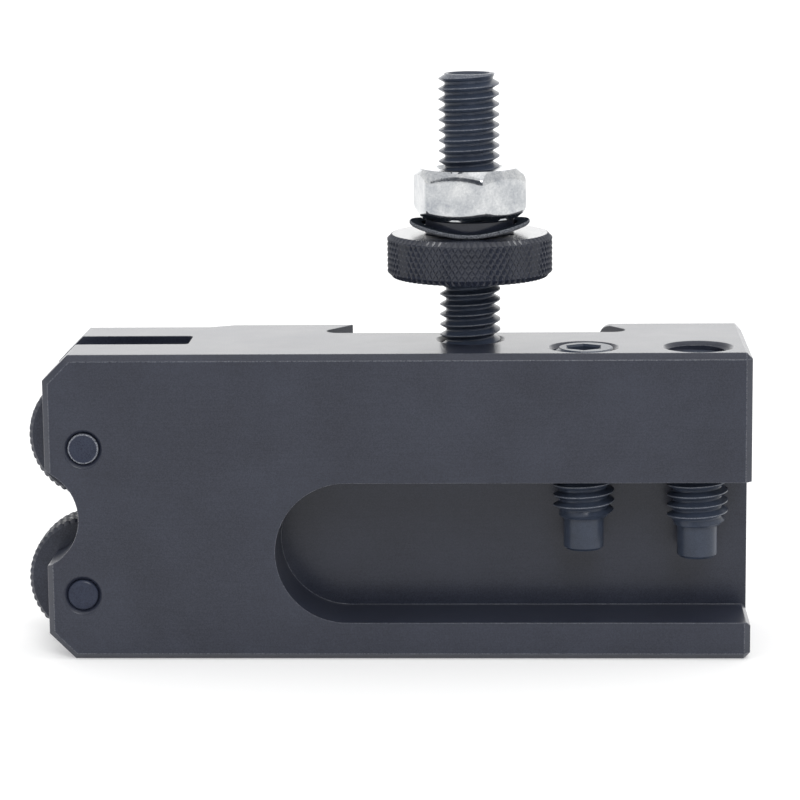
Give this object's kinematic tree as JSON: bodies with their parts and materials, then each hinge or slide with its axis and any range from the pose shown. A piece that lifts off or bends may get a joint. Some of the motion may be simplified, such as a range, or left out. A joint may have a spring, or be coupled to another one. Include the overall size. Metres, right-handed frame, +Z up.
{
  "type": "knurling and turning tool holder",
  "caption": "Black steel block with a dovetail groove at the back, knurling wheels at one end, an open tool slot with clamp screws at the other, and a knurled height nut on a stud.",
  "frame": {"origin": "middle of the base face", "axes": "+X from the knurling end to the open end of the tool slot, +Y from the tool side to the dovetail side, +Z up"},
  "size_m": [0.0709, 0.0184, 0.056],
  "materials": {
    "black_oxide_body": "ground and black oxide",
    "black_oxide_hardware": "black oxide, oiled",
    "spring_steel": "phosphated spring steel",
    "zinc_plate": "bright zinc plate",
    "knurl_steel": "hardened and black oxide",
    "pin_steel": "ground pin, black oxide"
  },
  "bodies": {
    "holder": {"holder_body": "black_oxide_body", "height_stud": "black_oxide_hardware", "upper_knurl_pin": "pin_steel", "lower_knurl_pin": "pin_steel"},
    "height_carriage": {"spring_washer": "spring_steel"},
    "thumb_nut": {"thumb_nut": "black_oxide_hardware"},
    "jam_nut": {"jam_nut": "zinc_plate"},
    "upper_wheel": {"upper_knurl_wheel": "knurl_steel"},
    "lower_wheel": {"lower_knurl_wheel": "knurl_steel"},
    "inner_screw": {"inner_clamp_screw": "black_oxide_hardware"},
    "outer_screw": {"outer_clamp_screw": "black_oxide_hardware"}
  },
  "joints": [
    {"name": "height_lift", "type": "slide", "parent": "holder", "child": "height_carriage", "axis": [0, 0, 1], "range_m": [-0.006, 0.006]},
    {"name": "thumb_nut_turn", "type": "hinge", "parent": "height_carriage", "child": "thumb_nut", "pos_m": [0.007, 0, 0.038], "axis": [0, 0, 1], "range_deg": [-2160, 2160]},
    {"name": "jam_nut_release", "type": "slide", "parent": "thumb_nut", "child": "jam_nut", "axis": [0, 0, 1], "range_m": [0, 0.002]},
    {"name": "upper_wheel_spin", "type": "hinge", "parent": "holder", "child": "upper_wheel", "pos_m": [-0.03015, 0, 0.0209], "axis": [0, 1, 0], "continuous": true},
    {"name": "lower_wheel_spin", "type": "hinge", "parent": "holder", "child": "lower_wheel", "pos_m": [-0.03055, 0, 0.00645], "axis": [0, 1, 0], "continuous": true},
    {"name": "inner_screw_travel", "type": "slide", "parent": "holder", "child": "inner_screw", "axis": [0, 0, 1], "range_m": [-0.006, 0.006]},
    {"name": "outer_screw_travel", "type": "slide", "parent": "holder", "child": "outer_screw", "axis": [0, 0, 1], "range_m": [-0.005, 0.007]}
  ],
  "couplings": [
    {"joint": "height_lift", "follows": "thumb_nut_turn", "m_per_rad": 0.00015915}
  ]
}
